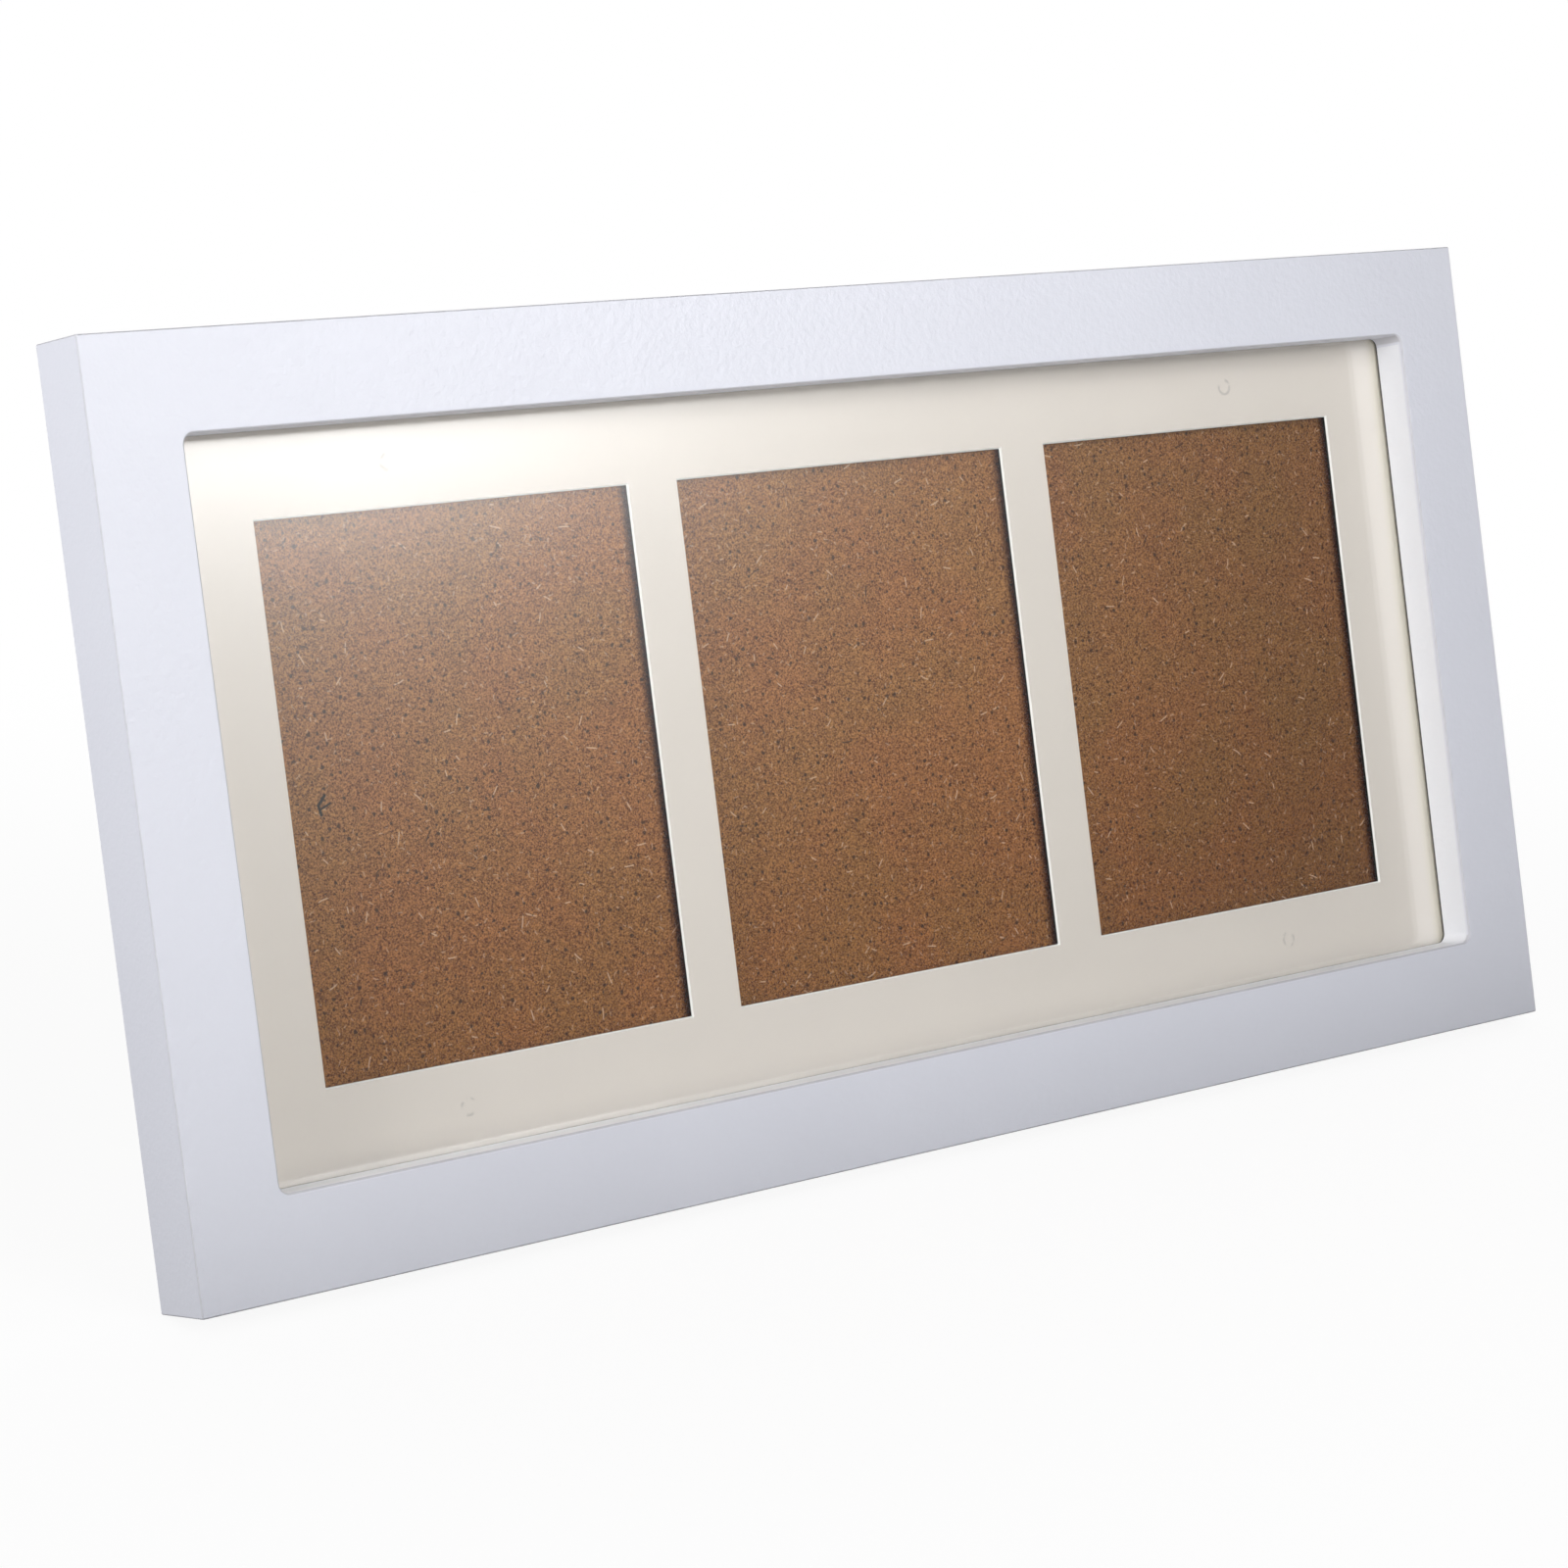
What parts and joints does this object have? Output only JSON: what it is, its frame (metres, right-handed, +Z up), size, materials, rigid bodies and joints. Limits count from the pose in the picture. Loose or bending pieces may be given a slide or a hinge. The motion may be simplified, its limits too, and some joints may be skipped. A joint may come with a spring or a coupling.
{
  "type": "collage photo frame",
  "caption": "Long white picture frame leaning on an easel strut, with a glazed mat cut with upright windows, turn buttons at the back and swinging rings for the wall.",
  "frame": {"origin": "on the floor, at the middle of the space between the frame's front lower edge and the strut's foot", "axes": "+X to the viewer's right along the frame, +Y to the back, +Z up"},
  "size_m": [0.5, 0.091, 0.2493],
  "materials": {
    "white_paint": "satin white paint",
    "clear_pane": "clear",
    "ivory_mat": "matt",
    "dark_card": "matt",
    "fibreboard": "bare",
    "strut_board": "bare",
    "zinc_steel": "zinc plated"
  },
  "bodies": {
    "frame": {"frame_body": "white_paint", "glazing_pane": "clear_pane", "window_mat": "ivory_mat", "print_spacer": "dark_card", "backing_board": "fibreboard", "button_screws": "zinc_steel", "hinge_bracket": "zinc_steel", "bracket_screws": "zinc_steel", "hinge_pivots": "zinc_steel", "hanger_strap_left": "zinc_steel", "hanger_strap_right": "zinc_steel", "hanger_screws": "zinc_steel"},
    "strut": {"easel_strut": "strut_board", "strut_clip": "zinc_steel", "strut_rivets": "zinc_steel"},
    "button_top_1": {"turn_button_top_1": "zinc_steel"},
    "button_bottom_1": {"turn_button_bottom_1": "zinc_steel"},
    "button_top_2": {"turn_button_top_2": "zinc_steel"},
    "button_bottom_2": {"turn_button_bottom_2": "zinc_steel"},
    "button_top_3": {"turn_button_top_3": "zinc_steel"},
    "button_bottom_3": {"turn_button_bottom_3": "zinc_steel"},
    "button_left": {"turn_button_left": "zinc_steel"},
    "button_right": {"turn_button_right": "zinc_steel"},
    "ring_left": {"hanger_ring_left": "zinc_steel"},
    "ring_right": {"hanger_ring_right": "zinc_steel"}
  },
  "joints": [
    {"name": "strut_fold", "type": "hinge", "parent": "frame", "child": "strut", "pos_m": [0, 0.01328, 0.16066], "axis": [1, 0, 0], "range_deg": [-22, 0]},
    {"name": "button_top_1_turn", "type": "hinge", "parent": "frame", "child": "button_top_1", "pos_m": [-0.15, 0.02168, 0.2324], "axis": [0, 0.981, -0.1942], "range_deg": [-90, 90]},
    {"name": "button_bottom_1_turn", "type": "hinge", "parent": "frame", "child": "button_bottom_1", "pos_m": [-0.15, -0.02183, 0.01266], "axis": [0, 0.981, -0.1942], "range_deg": [-90, 90]},
    {"name": "button_top_2_turn", "type": "hinge", "parent": "frame", "child": "button_top_2", "pos_m": [0, 0.02168, 0.2324], "axis": [0, 0.981, -0.1942], "range_deg": [-90, 90]},
    {"name": "button_bottom_2_turn", "type": "hinge", "parent": "frame", "child": "button_bottom_2", "pos_m": [0, -0.02183, 0.01266], "axis": [0, 0.981, -0.1942], "range_deg": [-90, 90]},
    {"name": "button_top_3_turn", "type": "hinge", "parent": "frame", "child": "button_top_3", "pos_m": [0.15, 0.02168, 0.2324], "axis": [0, 0.981, -0.1942], "range_deg": [-90, 90]},
    {"name": "button_bottom_3_turn", "type": "hinge", "parent": "frame", "child": "button_bottom_3", "pos_m": [0.15, -0.02183, 0.01266], "axis": [0, 0.981, -0.1942], "range_deg": [-90, 90]},
    {"name": "button_left_turn", "type": "hinge", "parent": "frame", "child": "button_left", "pos_m": [-0.237, -0.00008, 0.12253], "axis": [0, 0.981, -0.1942], "range_deg": [-90, 90]},
    {"name": "button_right_turn", "type": "hinge", "parent": "frame", "child": "button_right", "pos_m": [0.237, -0.00008, 0.12253], "axis": [0, 0.981, -0.1942], "range_deg": [-90, 90]},
    {"name": "ring_left_swing", "type": "hinge", "parent": "frame", "child": "ring_left", "pos_m": [-0.236, 0.01854, 0.2055], "axis": [1, 0, 0], "range_deg": [-10, 165]},
    {"name": "ring_right_swing", "type": "hinge", "parent": "frame", "child": "ring_right", "pos_m": [0.236, 0.01854, 0.2055], "axis": [1, 0, 0], "range_deg": [-10, 165]}
  ]
}
